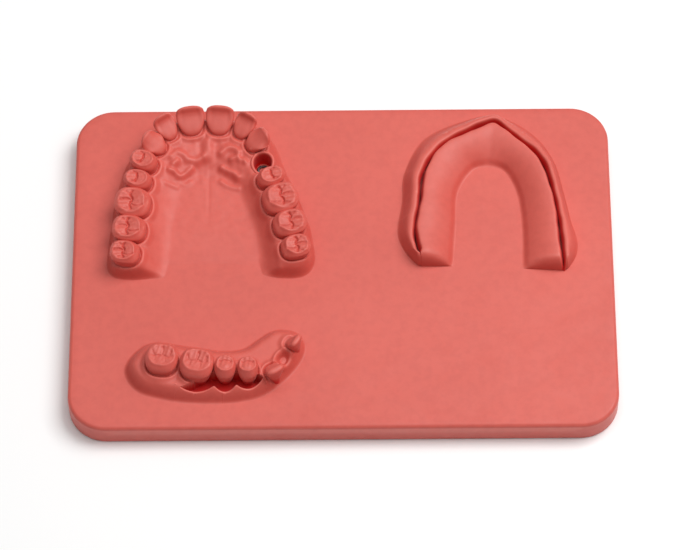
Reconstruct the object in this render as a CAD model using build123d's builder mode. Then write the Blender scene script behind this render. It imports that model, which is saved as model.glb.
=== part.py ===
"""Dental suture practice pad.

A soft slab carries three jaw models: a full upper arch with one emptied tooth socket, part of a
lower right arch whose cheek-side gum is cut free as a flap, and a toothless ridge cut along its
crest.  Millimetres; +Z up, +X to the right, +Y towards the back edge, where the front teeth of
the upper arch stand.  The origin is the centre of the slab's underside.
"""

import os

from build123d import *

# Slab
SLAB_WIDTH = 170.0
SLAB_DEPTH = 115.0
SLAB_TOP = 8.5
CORNER_RADIUS = 12.0
TOP_EDGE_RADIUS = 1.2
BOTTOM_EDGE_RADIUS = 0.6

# Clearances
KERF = 0.3  # a knife cut through the silicone
FLAP_LIFT = 0.15  # under a flap, at its fold
TOOTH_GAP = 0.5  # between one crown and the next

# Heights of the three jaw models
UPPER_GUM_TOP = 13.5
LOWER_GUM_TOP = 12.5
RIDGE_CREST = 14.2
LIP_CREST = 13.8
ROOT_DEPTH = 2.4

# Upper arch: the line through the middles of the crowns, from the left end round the front
UPPER_ARCH = [
    (-69.8, -7.4),
    (-65.5, 18.4),
    (-62.4, 34.2),
    (-56.4, 44.9),
    (-43.7, 48.6),
    (-31.8, 46.2),
    (-26.2, 40.6),
    (-24.2, 32.8),
    (-19.4, 18.4),
    (-14.2, -6.0),
]
ARCH_STATIONS = 11
PALATE_REAR = 8.9
PALATE_RISE = 0.03
ARCH_END_Y = -3.5
PALATE_BACK_EDGE_Y = -5.0

# Crown sizes: mesiodistal width, buccolingual depth, height above the gum
CROWNS = {
    "central_incisor": (8.8, 6.6, 5.7),
    "lateral_incisor": (6.8, 6.0, 5.4),
    "canine": (7.3, 6.8, 5.2),
    "first_premolar": (7.2, 8.8, 4.6),
    "second_premolar": (6.8, 8.8, 4.4),
    "first_molar": (9.9, 10.8, 4.3),
    "second_molar": (8.9, 10.3, 4.0),
    "third_molar": (8.2, 9.0, 3.6),
}
EMPTY_SOCKET = "upper_left_first_premolar"
CROSS_GROOVES = {"first_molar": (-0.16, 0.18), "second_molar": (-0.05,), "third_molar": (0.0,)}

# Crown sections: level as a share of the height, and size as a share of the width and depth
BACK_SECTIONS = [(0.0, 0.82), (0.42, 1.0), (0.8, 0.86), (1.0, 0.66)]
CORNER_SHARE = 0.42
GROOVE = [(-1.0, 0.1), (1.0, 0.1), (0.0, -0.8)]

# Incisal edges: width as a share of the tooth's, and lean towards the cheek as a share of its depth
INCISOR_EDGE = 0.96
INCISOR_LEAN = 0.5
CANINE_EDGE = 0.45
CANINE_LEAN = 0.32

# Extraction socket and the implant in its floor
SOCKET_CENTRE = (-25.2, 34.3)
SOCKET_RADII = (2.75, 3.4)
IMPLANT_TOP = 9.2
IMPLANT_BOTTOM = 2.5
IMPLANT_RADIUS = 1.75
IMPLANT_COLLAR_RADIUS = 2.0
IMPLANT_COLLAR_HEIGHT = 1.0
IMPLANT_CHAMFER = 0.3
IMPLANT_TIP_RADIUS = 1.2
IMPLANT_TIP_HEIGHT = 1.6
HEX_CIRCLE_RADIUS = 1.3
HEX_DEPTH = 1.6
THREAD_GROOVES = 6
THREAD_DEPTH = 0.25

# Lower arch: crown middle, turn of the arch there, and width, depth and height as above
LOWER_TEETH = {
    "lower_right_second_molar": ((-55.8, -37.2), -8.0, (10.4, 9.6, 4.9)),
    "lower_right_first_molar": ((-45.0, -39.2), -10.0, (10.8, 9.8, 5.2)),
    "lower_right_second_premolar": ((-36.2, -40.3), -4.0, (6.9, 7.4, 5.2)),
    "lower_right_first_premolar": ((-29.2, -40.6), 2.0, (6.7, 7.0, 5.2)),
    "lower_right_canine": ((-21.3, -40.6), 30.0, (6.0, 5.4, 4.6)),
    "lower_right_central_incisor": ((-15.7, -30.6), 58.0, (5.2, 4.8, 5.2)),
}
LATERAL_SOCKET_CENTRE = (-18.6, -35.6)
LATERAL_SOCKET_SIZE = (5.0, 4.0)
LATERAL_SOCKET_TURN = 56.0
LATERAL_SOCKET_DEPTH = 1.4

# Lower gum: its foot, anticlockwise from the far left end, and the flap in front of the teeth
LOWER_FOOT = [
    (-67.0, -36.0),
    (-63.6, -43.8),
    (-54.0, -47.2),
    (-44.0, -48.4),
    (-32.0, -48.0),
    (-23.0, -45.0),
    (-14.6, -36.4),
    (-12.0, -29.4),
    (-14.8, -24.6),
    (-21.2, -23.9),
    (-26.4, -27.2),
    (-31.0, -30.4),
    (-38.0, -31.0),
    (-48.0, -29.4),
    (-60.0, -28.2),
]
LOWER_GUM_ROUNDING = 1.9
TRENCH_BACK_Y = -42.2
FLAP_LEFT = -51.4
FLAP_RIGHT = -23.6
FLAP_BACK_Y = -45.2
FLAP_FOOT = [(-51.1, -47.4), (-44.0, -48.4), (-32.0, -48.0), (-23.9, -46.4)]
FLAP_PAPILLAE = [-50.6, -39.6, -32.8, -24.6]
FLAP_PEAK = 12.8
FLAP_VALLEY = 11.6
FLAP_END = 12.5

# Toothless ridge, from the left end round the front to the right end
RIDGE_FOOT = [
    (21.4, 0.2),
    (17.2, 10.5),
    (18.6, 22.5),
    (19.4, 33.0),
    (25.5, 45.4),
    (37.0, 52.0),
    (49.0, 54.4),
    (60.5, 48.0),
    (67.4, 37.5),
    (70.4, 25.0),
    (72.2, 15.5),
    (74.3, 6.5),
    (72.4, -1.6),
]
CREST_CUT = [
    (24.8, -1.0),
    (22.8, 9.4),
    (24.5, 21.0),
    (25.6, 30.4),
    (30.0, 39.0),
    (37.6, 44.9),
    (48.4, 48.6),
    (57.6, 42.0),
    (63.4, 34.6),
    (66.2, 25.0),
    (67.8, 15.6),
    (68.5, 6.6),
    (69.2, -2.8),
]
RIDGE_INNER_FOOT = [
    (34.8, -1.0),
    (36.0, 12.5),
    (36.8, 25.0),
    (41.5, 33.6),
    (46.4, 35.0),
    (51.4, 33.4),
    (55.2, 25.0),
    (56.4, 12.5),
    (56.2, -2.0),
]
CUT_WIDTH = 1.2
LIP_RIM = 1.6
INNER_RIM = 3.4
RIDGE_MIDDLE_X = 46.0
LEFT_SEAM = (17.0, 31.0)
RIGHT_SEAM = (70.4, 31.0)
RIGHT_FOLD = (-4.8, 28.0)  # the way the right lip's fold runs


def beside(curve, distance, stations=ARCH_STATIONS):
    """Points to the left of a plan curve as it runs, at a distance that may vary on the way."""
    points = []
    for station in range(stations):
        share = station / (stations - 1)
        foot = curve @ share
        along = curve % share
        away = distance(share)
        points.append((foot.X - along.Y * away, foot.Y + along.X * away))
    return points


def plan_curve(points):
    """A smooth curve through plan points."""
    with BuildLine() as curve:
        Spline(*points)
    return curve.edge()


def band(near, far, level):
    """A level face between two smooth curves, closed by straight ends."""
    with BuildSketch(Plane.XY.offset(level)) as face:
        with BuildLine():
            first = Spline(*near)
            second = Spline(*far)
            Line(first @ 0, second @ 0)
            Line(first @ 1, second @ 1)
        make_face()
    return face.sketch


def bank(foot, top):
    """A wall with sloping sides, from the band at its foot to the narrower one at its top."""
    with BuildPart() as wall:
        add(foot)
        add(top)
        loft()
    return wall.part


def seat_root(seat, radius_x, radius_y):
    """Adds the tapered stub that seats a crown in the gum."""
    with BuildSketch(seat.offset(-ROOT_DEPTH)) as tip:
        Ellipse(0.6 * radius_x, 0.6 * radius_y)
    with BuildSketch(seat) as neck:
        Ellipse(0.9 * radius_x, 0.9 * radius_y)
    loft([tip.sketch, neck.sketch])


def back_tooth(seat, size, cross_grooves):
    """A premolar or molar: a bulging crown with grooves between its cusps."""
    width, depth, height = size[0] - TOOTH_GAP, size[1], size[2]
    table = seat.offset(height).origin
    with BuildPart() as tooth:
        seat_root(seat, 0.38 * width, 0.38 * depth)
        for level, share in BACK_SECTIONS:
            with BuildSketch(seat.offset(level * height)):
                RectangleRounded(share * width, share * depth, CORNER_SHARE * share * min(width, depth))
        loft()
        with BuildSketch(Plane(table, x_dir=seat.y_dir, z_dir=seat.x_dir)):
            Polygon(*GROOVE, align=None)
        extrude(amount=0.36 * width, both=True, mode=Mode.SUBTRACT)
        for place in cross_grooves:
            with BuildSketch(Plane(table, x_dir=seat.x_dir, z_dir=-seat.y_dir)):
                with Locations((place * width, 0)):
                    Polygon(*GROOVE, align=None)
            extrude(amount=0.5 * depth, both=True, mode=Mode.SUBTRACT)
    return tooth.part


def front_tooth(seat, size, edge_width, edge_shift):
    """An incisor or canine: deep from front to back at its neck, drawn up to a thin edge."""
    width, depth, height = size[0] - TOOTH_GAP, size[1], size[2]
    sections = [
        (0.0, 0.80, 0.84, 0.0),
        (0.35, 0.96, 0.80, 0.15),
        (0.75, 0.5 + 0.5 * edge_width, 0.46, 0.7),
        (1.0, edge_width, 0.22, 1.0),
    ]
    with BuildPart() as tooth:
        seat_root(seat, 0.36 * width, 0.38 * depth)
        for level, wide, deep, shift in sections:
            with BuildSketch(seat.offset(level * height)):
                with Locations((0, shift * edge_shift * depth)):
                    Ellipse(0.5 * wide * width, 0.5 * deep * depth)
        loft()
    return tooth.part


def crown(name, place, cheek, size, gum_top):
    """The named tooth on its seat in the gum, with its cheek side the way that cheek points."""
    seat = Plane((place.X, place.Y, gum_top), x_dir=cheek.rotate(Axis.Z, -90), z_dir=(0, 0, 1))
    if "incisor" in name:
        return front_tooth(seat, size, INCISOR_EDGE, INCISOR_LEAN)
    if "canine" in name:
        return front_tooth(seat, size, CANINE_EDGE, CANINE_LEAN)
    kind = name.split("_", 2)[2]
    return back_tooth(seat, size, CROSS_GROOVES.get(kind, ()))


def upper_teeth(arch):
    """The upper teeth, walked out from the midline on each side by their widths."""
    teeth = {}
    for side, step in (("right", -1), ("left", 1)):
        walked = 0.0
        for kind, size in CROWNS.items():
            share = 0.5 + step * (walked + size[0] / 2) / arch.length
            walked += size[0]
            name = f"upper_{side}_{kind}"
            if name == EMPTY_SOCKET:
                continue
            cheek = (arch % share).rotate(Axis.Z, 90)
            teeth[name] = crown(name, arch @ share, cheek, size, UPPER_GUM_TOP)
    return teeth


def lower_teeth():
    """The lower teeth, whose cheek sides face the front edge of the slab."""
    teeth = {}
    for name, (place, turn, size) in LOWER_TEETH.items():
        cheek = Vector(0, -1, 0).rotate(Axis.Z, turn)
        teeth[name] = crown(name, Vector(*place), cheek, size, LOWER_GUM_TOP)
    return teeth


def implant_blank():
    """The implant's plain turned body, the space that the silicone leaves for it."""
    collar_foot = IMPLANT_TOP - IMPLANT_COLLAR_HEIGHT
    with BuildPart() as blank:
        with BuildSketch(Plane(SOCKET_CENTRE + (0,), x_dir=(1, 0, 0), z_dir=(0, -1, 0))):
            with BuildLine():
                Polyline(
                    (0, IMPLANT_BOTTOM),
                    (IMPLANT_TIP_RADIUS, IMPLANT_BOTTOM),
                    (IMPLANT_RADIUS, IMPLANT_BOTTOM + IMPLANT_TIP_HEIGHT),
                    (IMPLANT_RADIUS, collar_foot),
                    (IMPLANT_COLLAR_RADIUS, collar_foot),
                    (IMPLANT_COLLAR_RADIUS, IMPLANT_TOP - IMPLANT_CHAMFER),
                    (IMPLANT_COLLAR_RADIUS - IMPLANT_CHAMFER, IMPLANT_TOP),
                    (0, IMPLANT_TOP),
                    close=True,
                )
            make_face()
        revolve(axis=Axis(SOCKET_CENTRE + (0,), (0, 0, 1)))
    return blank.part


def implant_fixture(blank):
    """The implant: thread grooves round its body and a hexagonal driving recess."""
    first = IMPLANT_BOTTOM + IMPLANT_TIP_HEIGHT
    pitch = (IMPLANT_TOP - IMPLANT_COLLAR_HEIGHT - first) / THREAD_GROOVES
    with BuildPart() as fixture:
        add(blank)
        with BuildSketch(Plane(SOCKET_CENTRE + (IMPLANT_TOP,))):
            RegularPolygon(HEX_CIRCLE_RADIUS, 6)
        extrude(amount=-HEX_DEPTH, mode=Mode.SUBTRACT)
        with BuildSketch(Plane(SOCKET_CENTRE + (0,), x_dir=(1, 0, 0), z_dir=(0, -1, 0))):
            for turn in range(THREAD_GROOVES):
                with Locations((IMPLANT_RADIUS, first + turn * pitch)):
                    Polygon((0.05, 0), (0.05, 0.7 * pitch), (-THREAD_DEPTH, 0.35 * pitch), align=None)
        revolve(axis=Axis(SOCKET_CENTRE + (0,), (0, 0, 1)), mode=Mode.SUBTRACT)
    return fixture.part


def base_slab(blank):
    """The slab, with room for the lower part of the implant."""
    with BuildPart() as slab:
        with BuildSketch():
            RectangleRounded(SLAB_WIDTH, SLAB_DEPTH, CORNER_RADIUS)
        extrude(amount=SLAB_TOP)
        fillet(slab.faces().sort_by(Axis.Z)[-1].edges(), TOP_EDGE_RADIUS)
        fillet(slab.faces().sort_by(Axis.Z)[0].edges(), BOTTOM_EDGE_RADIUS)
        add(blank, mode=Mode.SUBTRACT)
    return slab.part


def palate(edge):
    """The roof of the mouth inside the upper arch, sloping down to its back edge."""
    left, right = (edge[0][0], ARCH_END_Y), (edge[-1][0], ARCH_END_Y)
    with BuildPart() as roof:
        with BuildSketch(Plane.XY.offset(SLAB_TOP)):
            with BuildLine():
                Spline(left, *edge[1:-1], right)
                ThreePointArc(left, ((left[0] + right[0]) / 2, PALATE_BACK_EDGE_Y), right)
            make_face()
        extrude(amount=UPPER_GUM_TOP - SLAB_TOP)
        slope = Plane(origin=(0, 0, PALATE_REAR), x_dir=(1, 0, 0), z_dir=(0, -PALATE_RISE, 1))
        split(bisect_by=slope, keep=Keep.BOTTOM)
    return roof.part


def maxillary_gum(arch, teeth):
    """The upper arch's gum: a banked ridge round the palate, with the tooth sockets in it."""
    def swell(share):
        return abs(2 * share - 1) ** 1.5  # from 0 at the front teeth to 1 at the back ends

    def tuck(share):
        return 3.4 * abs(2 * share - 1) ** 9  # draws the outer side in at the back ends

    outer_foot = beside(arch, lambda u: 6.4 + 0.4 * swell(u) - tuck(u))
    outer_top = beside(arch, lambda u: 3.6 + 1.8 * swell(u) - tuck(u))
    inner_top = beside(arch, lambda u: -4.2 - 1.6 * swell(u))
    inner_foot = beside(arch, lambda u: -8.6 - 1.6 * swell(u))
    under_ridge = beside(arch, lambda u: -6.5 - swell(u))
    ridge = bank(band(outer_foot, inner_foot, SLAB_TOP), band(outer_top, inner_top, UPPER_GUM_TOP))
    roof = palate(under_ridge)
    with BuildPart() as gum:
        add(ridge)
        split(bisect_by=Plane.XZ.offset(-ARCH_END_Y), keep=Keep.BOTTOM)
        add(roof)
        add(list(teeth.values()), mode=Mode.SUBTRACT)
        with BuildSketch(Plane.XY.offset(SLAB_TOP)):
            with Locations(SOCKET_CENTRE):
                Ellipse(*SOCKET_RADII)
        extrude(amount=UPPER_GUM_TOP - SLAB_TOP, mode=Mode.SUBTRACT)
    return gum.part


def mandibular_gum(teeth):
    """The lower gum, cut away in front of the teeth where the flap stands."""
    with BuildPart() as gum:
        with BuildSketch(Plane.XY.offset(SLAB_TOP)):
            with BuildLine():
                Spline(*LOWER_FOOT, periodic=True)
            make_face()
        extrude(amount=LOWER_GUM_TOP - SLAB_TOP)
        fillet(gum.faces().sort_by(Axis.Z)[-1].edges(), LOWER_GUM_ROUNDING)
        with BuildSketch(Plane.XY.offset(SLAB_TOP)):
            with Locations((FLAP_LEFT, TRENCH_BACK_Y)):
                Rectangle(FLAP_RIGHT - FLAP_LEFT, 10, align=(Align.MIN, Align.MAX))
        extrude(amount=LOWER_GUM_TOP - SLAB_TOP, mode=Mode.SUBTRACT)
        with BuildSketch(Plane.XY.offset(LOWER_GUM_TOP)):
            with Locations(Location(LATERAL_SOCKET_CENTRE, LATERAL_SOCKET_TURN)):
                Ellipse(LATERAL_SOCKET_SIZE[0] / 2, LATERAL_SOCKET_SIZE[1] / 2)
        extrude(amount=-LATERAL_SOCKET_DEPTH, mode=Mode.SUBTRACT)
        add(list(teeth.values()), mode=Mode.SUBTRACT)
    return gum.part


def mandibular_flap():
    """The cheek-side flap in front of the lower teeth, scalloped along its upper edge."""
    left, right = FLAP_FOOT[0][0], FLAP_FOOT[-1][0]
    scallops = [(FLAP_PAPILLAE[0], FLAP_PEAK)]
    for start, end in zip(FLAP_PAPILLAE, FLAP_PAPILLAE[1:]):
        scallops.append(((start + end) / 2, FLAP_VALLEY))
        scallops.append((end, FLAP_PEAK))
    with BuildPart() as flap:
        with BuildSketch(Plane.XY.offset(SLAB_TOP + FLAP_LIFT)):
            with BuildLine():
                front = Spline(*FLAP_FOOT)
                Polyline(front @ 0, (left, FLAP_BACK_Y), (right, FLAP_BACK_Y), front @ 1)
            make_face()
        extrude(amount=FLAP_PEAK)
        with BuildSketch(Plane.XZ):
            with BuildLine():
                edge = Spline((left, FLAP_END), *scallops, (right, FLAP_END))
                Polyline(edge @ 1, (right, 2 * FLAP_PEAK), (left, 2 * FLAP_PEAK), edge @ 0)
            make_face()
        extrude(amount=SLAB_DEPTH / 2, mode=Mode.SUBTRACT)
    return flap.part


def edentulous_ridge(cut):
    """The bed inside the crest cut: a rim beside the cut and a long slope to its inner foot."""
    cut_side = beside(cut, lambda u: -CUT_WIDTH / 2)
    rim = beside(cut, lambda u: -INNER_RIM)
    foot = band(cut_side, RIDGE_INNER_FOOT, SLAB_TOP)
    return bank(foot, band(cut_side, rim, RIDGE_CREST))


def ridge_lips(cut):
    """The lip outside the crest cut, all the way round."""
    cut_side = beside(cut, lambda u: CUT_WIDTH / 2)
    rim = beside(cut, lambda u: CUT_WIDTH / 2 + LIP_RIM)
    foot = band(RIDGE_FOOT, cut_side, SLAB_TOP + FLAP_LIFT)
    return bank(foot, band(rim, cut_side, LIP_CREST))


def half_lip(lips, half, seam, keep, gap):
    """One half of the lip, kept before or beyond a seam plane, drawn back from it by a gap."""
    with BuildPart() as piece:
        add(lips)
        split(bisect_by=Plane.YZ.offset(RIDGE_MIDDLE_X), keep=half)
        split(bisect_by=seam.offset(gap), keep=keep)
    return piece.part


def save(part, name):
    """Writes one piece as its own file."""
    part.label = name
    export_step(part, f"parts/{name}.step")


arch = plan_curve(UPPER_ARCH)
crest_cut = plan_curve(CREST_CUT)
left_seam = Plane(LEFT_SEAM + (0,), x_dir=(0, 0, 1), z_dir=(0, 1, 0))
right_seam = Plane(RIGHT_SEAM + (0,), x_dir=(0, 0, 1), z_dir=RIGHT_FOLD + (0,))
upper = upper_teeth(arch)
lower = lower_teeth()
blank = implant_blank()
lips = ridge_lips(crest_cut)

with BuildPart() as front_lip:
    add(half_lip(lips, Keep.BOTTOM, left_seam, Keep.TOP, KERF / 2))
    add(half_lip(lips, Keep.TOP, right_seam, Keep.TOP, KERF / 2))

os.makedirs("parts", exist_ok=True)
save(base_slab(blank), "base_slab")
save(maxillary_gum(arch, upper), "maxillary_gum")
save(implant_fixture(blank), "implant_fixture")
save(mandibular_gum(lower), "mandibular_gum")
save(mandibular_flap(), "mandibular_flap")
save(edentulous_ridge(crest_cut), "edentulous_ridge")
save(front_lip.part, "edentulous_flap_front")
save(half_lip(lips, Keep.BOTTOM, left_seam, Keep.BOTTOM, -KERF / 2), "edentulous_flap_left")
save(half_lip(lips, Keep.TOP, right_seam, Keep.BOTTOM, -KERF / 2), "edentulous_flap_right")
for name, tooth in {**upper, **lower}.items():
    save(tooth, name)
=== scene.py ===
"""Looks of the dental suture practice pad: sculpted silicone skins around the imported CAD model."""

import math

import bmesh
import bpy
import numpy as np
from mathutils import Matrix, Vector


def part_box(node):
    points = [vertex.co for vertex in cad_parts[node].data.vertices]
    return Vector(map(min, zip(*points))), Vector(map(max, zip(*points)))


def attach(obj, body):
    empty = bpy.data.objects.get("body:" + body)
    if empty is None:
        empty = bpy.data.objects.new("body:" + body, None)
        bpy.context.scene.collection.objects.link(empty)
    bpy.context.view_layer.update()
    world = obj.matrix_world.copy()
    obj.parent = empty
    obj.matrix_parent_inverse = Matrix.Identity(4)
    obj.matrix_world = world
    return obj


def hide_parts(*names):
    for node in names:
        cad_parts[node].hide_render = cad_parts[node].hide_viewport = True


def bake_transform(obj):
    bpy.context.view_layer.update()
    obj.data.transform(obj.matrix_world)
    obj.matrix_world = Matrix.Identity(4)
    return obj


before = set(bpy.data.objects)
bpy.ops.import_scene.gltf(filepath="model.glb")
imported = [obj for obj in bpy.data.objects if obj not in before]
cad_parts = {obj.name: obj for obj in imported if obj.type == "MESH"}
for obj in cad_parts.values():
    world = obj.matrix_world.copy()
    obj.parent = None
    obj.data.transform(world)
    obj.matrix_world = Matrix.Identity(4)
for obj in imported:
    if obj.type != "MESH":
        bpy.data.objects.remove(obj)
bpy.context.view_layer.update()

# Sizes and places are millimetres in the CAD model's own frame. Lamps and camera stand in metres.
MM = 0.001
SUNK = 0.03  # how far a feathered foot passes under the slab's top
FOOT_DEPTH = 0.6  # how deep a fixed piece goes into the slab
SOFTENING = 0.45  # rounding of the moulded edges
SHARP = math.radians(55)  # edges that turn by more stay crisp
STEEP_WALL_SHADE = 0.3  # painted shade on steep walls: how deep in a gap a steep wall counts, for its colour


def corners(node):
    """A CAD node's lowest and highest corners in millimetres."""
    low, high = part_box(node)
    return np.array(low) / MM, np.array(high) / MM


SLAB_HIGH = corners("base_slab")[1]
SLAB_TOP = SLAB_HIGH[2]
CORNER_RADIUS = 12.0
TOP_EDGE = 1.3  # rounding of the slab's top edge
BOTTOM_EDGE = 0.7
SLAB_WAVES = 0.02  # how far the slab's top is from flat


# ---- shapes

def smooth(low, high, value):
    """0 below low, 1 above high, and an even turn between them."""
    t = np.clip((np.asarray(value, float) - low) / (high - low), 0, 1)
    return t * t * (3 - 2 * t)


def bell(value, width):
    """1 at 0, falling off like a bell."""
    return np.exp(-((np.asarray(value, float) / width) ** 2))


def rail(points, where):
    """Points on a smooth curve through the given ones, at places counted from one to the next."""
    p = np.array(points, float)
    p = np.vstack([2 * p[0] - p[1], p, 2 * p[-1] - p[-2]])
    i = np.minimum(np.asarray(where).astype(int), len(points) - 2)
    t = (where - i)[:, None]
    a, b, c, d = p[i], p[i + 1], p[i + 2], p[i + 3]
    return b + 0.5 * t * (c - a + t * (2 * a - 5 * b + 4 * c - d + t * (3 * b - a - 3 * c + d)))


def run_length(points):
    """How far along a line each of its points lies."""
    return np.r_[0, np.cumsum(np.linalg.norm(np.diff(points, axis=0), axis=1))]


def through(points, count, closed=False):
    """Evenly spaced points on a smooth curve through the given ones."""
    points = [tuple(p) for p in points]
    if closed:
        points = points[-2:] + points + points[:2]
    places = np.arange(0, len(points) - 1 + 1e-9, 1 / 24)
    if closed:
        places = places[(places >= 2 - 1e-9) & (places <= len(points) - 2 + 1e-9)]
    fine = rail(points, places)
    run = run_length(fine)
    even = np.linspace(0, run[-1], count)
    return np.stack([np.interp(even, run, fine[:, k]) for k in range(fine.shape[1])], 1)


def beside(x, y, line):
    """Signed distance to a line of points, positive on its left, and the share of its length there."""
    best = np.full(x.shape, np.inf)
    side = np.zeros(x.shape)
    share = np.zeros(x.shape)
    last = len(line) - 1
    for i in range(last):
        (ax, ay), (bx, by) = line[i], line[i + 1]
        ux, uy = bx - ax, by - ay
        t = np.clip(((x - ax) * ux + (y - ay) * uy) / (ux * ux + uy * uy + 1e-12), 0, 1)
        away = np.hypot(x - ax - t * ux, y - ay - t * uy)
        closer = away < best
        best = np.where(closer, away, best)
        side = np.where(closer, np.sign(ux * (y - ay) - uy * (x - ax)), side)
        share = np.where(closer, (i + t) / last, share)
    return side * best, share


def along(line, share):
    """The point and the unit direction at a share of a line of points."""
    where = np.clip(share, 0, 1) * (len(line) - 1)
    i = int(min(where, len(line) - 2))
    run = line[i + 1] - line[i]
    return line[i] + (where - i) * run, run / np.linalg.norm(run)


def waves(x, y, pitch, seed=0.0):
    """A soft uneven surface between -1 and 1, with swells about a pitch apart."""
    k = 2 * math.pi / pitch
    return (
        np.sin(k * (x + 0.31 * y) + 1.3 + seed) * np.sin(k * (0.87 * y - 0.22 * x) + 0.4 - seed)
        + 0.6 * np.sin(1.7 * k * (0.9 * x - 0.5 * y) + 2.1 + seed)
        * np.sin(1.6 * k * (0.8 * y + 0.4 * x) + seed)
    ) / 1.6


# ---- meshes

def build(name, points, faces, node=None, body="pad", depths=None):
    """A smooth-shaded closed piece of silicone made of points in millimetres.

    depths says for each point how deep it lies in a gap, from 0 to 1. Such points and steep ones
    get painted shade, a darker red, kept in the painted_gap_shade attribute.
    """
    mesh = bpy.data.meshes.new(name)
    mesh.from_pydata((np.asarray(points) * MM).tolist(), [], [tuple(f) for f in faces])
    bm = bmesh.new()
    bm.from_mesh(mesh)
    bmesh.ops.recalc_face_normals(bm, faces=bm.faces)
    bm.to_mesh(mesh)
    bm.free()
    if depths is not None:
        normals = np.zeros(3 * len(mesh.vertices), np.float32)
        mesh.vertices.foreach_get("normal", normals)
        # Painted shade on steep walls and deep in gaps
        steep = STEEP_WALL_SHADE * smooth(0.985, 0.45, abs(normals[2::3]))
        layer = mesh.attributes.new("painted_gap_shade", "FLOAT", "POINT")
        layer.data.foreach_set("value", np.maximum(steep, depths).astype(np.float32))
    mesh.shade_smooth()
    mesh.set_sharp_from_angle(angle=SHARP)
    piece = bpy.data.objects.new(name, mesh)
    bpy.context.scene.collection.objects.link(piece)
    piece.data.materials.append(SILICONE)
    if body:
        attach(piece, body)
    if node:
        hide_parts(node)
    return piece


def tube_faces(rings, width):
    """Quads between closed rings of the same width, listed one after the other."""
    faces = []
    for r in range(rings - 1):
        for i in range(width):
            j = (i + 1) % width
            a = r * width
            faces.append((a + i, a + j, a + width + j, a + width + i))
    return faces


def sweep(name, sections, node, depths, body="pad"):
    """A closed piece whose skin runs round each section in turn, with capped ends."""
    count, width = sections.shape[:2]
    end = (count - 1) * width
    faces = tube_faces(count, width) + [tuple(range(width)), tuple(range(end, end + width))]
    return build(name, sections.reshape(-1, 3), faces, node, body, np.tile(depths, count))


def blurred(z, spread):
    """A grid of heights, softened over a spread counted in cells."""
    reach = int(3 * spread)
    weights = np.exp(-0.5 * (np.arange(-reach, reach + 1) / spread) ** 2)
    weights /= weights.sum()
    for axis in (0, 1):
        padding = [(reach, reach) if a == axis else (0, 0) for a in (0, 1)]
        wide = np.pad(z, padding, mode="edge")
        length = z.shape[axis]
        z = sum(w * np.take(wide, range(k, k + length), axis) for k, w in enumerate(weights))
    return z


def relief(name, low, high, step, body_height, detail, node):
    """A closed piece whose top is a height over the slab, trimmed where it has sunk into the slab.

    body_height gives the moulded body, which is softened, and detail the crisp features on it.
    """
    xs = np.arange(low[0], high[0] + step, step)
    ys = np.arange(low[1], high[1] + step, step)
    x, y = np.meshgrid(xs, ys, indexing="ij")
    body = blurred(body_height(x, y), SOFTENING / step)
    z = detail(x, y, body) - SUNK
    # Painted shade where the top lies below its softened surroundings or is cut far below the body
    depths = np.maximum(smooth(0.3, 1.6, blurred(z, 1.0 / step) - z), smooth(1.6, 2.6, body - z))
    live = z > -0.8 * SUNK
    cell = live[:-1, :-1] | live[1:, :-1] | live[:-1, 1:] | live[1:, 1:]
    cell[[0, -1], :] = False
    cell[:, [0, -1]] = False
    for _ in range(4):  # no two cells may touch at a corner alone
        a, b, c, d = cell[:-1, :-1], cell[1:, :-1], cell[:-1, 1:], cell[1:, 1:]
        bridge = (a & d & ~b & ~c) | (b & c & ~a & ~d)
        b |= bridge
        a |= bridge
        c |= bridge
    index = np.full(x.shape, -1)
    i, j = np.nonzero(cell)
    used = np.zeros(x.shape, bool)
    for di, dj in ((0, 0), (1, 0), (1, 1), (0, 1)):
        used[i + di, j + dj] = True
    index[used] = np.arange(used.sum())
    points = np.stack([x[used], y[used], SLAB_TOP + z[used]], 1)
    faces = np.stack([index[i, j], index[i + 1, j], index[i + 1, j + 1], index[i, j + 1]], 1)
    piece = build(name, points, faces.tolist(), node, depths=depths[used])
    bm = bmesh.new()
    bm.from_mesh(piece.data)
    rim = [e for e in bm.edges if e.is_boundary]
    skirt = bmesh.ops.extrude_edge_only(bm, edges=rim)["geom"]
    for v in (g for g in skirt if isinstance(g, bmesh.types.BMVert)):
        v.co.z = (SLAB_TOP - FOOT_DEPTH) * MM
    under = [g for g in skirt if isinstance(g, bmesh.types.BMEdge) and g.is_boundary]
    bmesh.ops.edgeloop_fill(bm, edges=under)
    bmesh.ops.recalc_face_normals(bm, faces=bm.faces)
    for e in rim:
        e.smooth = False
    bm.to_mesh(piece.data)
    bm.free()
    return piece


# ---- materials

def node_chain(material):
    """The node tree of a fresh material, emptied, with its output and shader."""
    material.use_nodes = True
    tree = material.node_tree
    tree.nodes.clear()
    output = tree.nodes.new("ShaderNodeOutputMaterial")
    shader = tree.nodes.new("ShaderNodeBsdfPrincipled")
    tree.links.new(shader.outputs["BSDF"], output.inputs["Surface"])
    return tree, shader


def noise(tree, scale, detail):
    """A noise texture in the piece's own coordinates."""
    place = tree.nodes.new("ShaderNodeTexCoord")
    texture = tree.nodes.new("ShaderNodeTexNoise")
    texture.inputs["Scale"].default_value = scale
    texture.inputs["Detail"].default_value = detail
    tree.links.new(place.outputs["Object"], texture.inputs["Vector"])
    return texture.outputs["Fac"]


def ramp(tree, fac, stops):
    """A colour ramp over a value."""
    node = tree.nodes.new("ShaderNodeValToRGB")
    tree.links.new(fac, node.inputs["Fac"])
    elements = node.color_ramp.elements
    while len(elements) < len(stops):
        elements.new(0.5)
    for element, (position, colour) in zip(elements, stops):
        element.position = position
        element.color = (*colour, 1.0)
    return node.outputs["Color"]


def patchy(tree, scale, detail, low, high, turn=(0.3, 0.7)):
    """Patches that turn from one colour to another between two values of a noise."""
    return ramp(tree, noise(tree, scale, detail), [(turn[0], low), (turn[1], high)])


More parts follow.
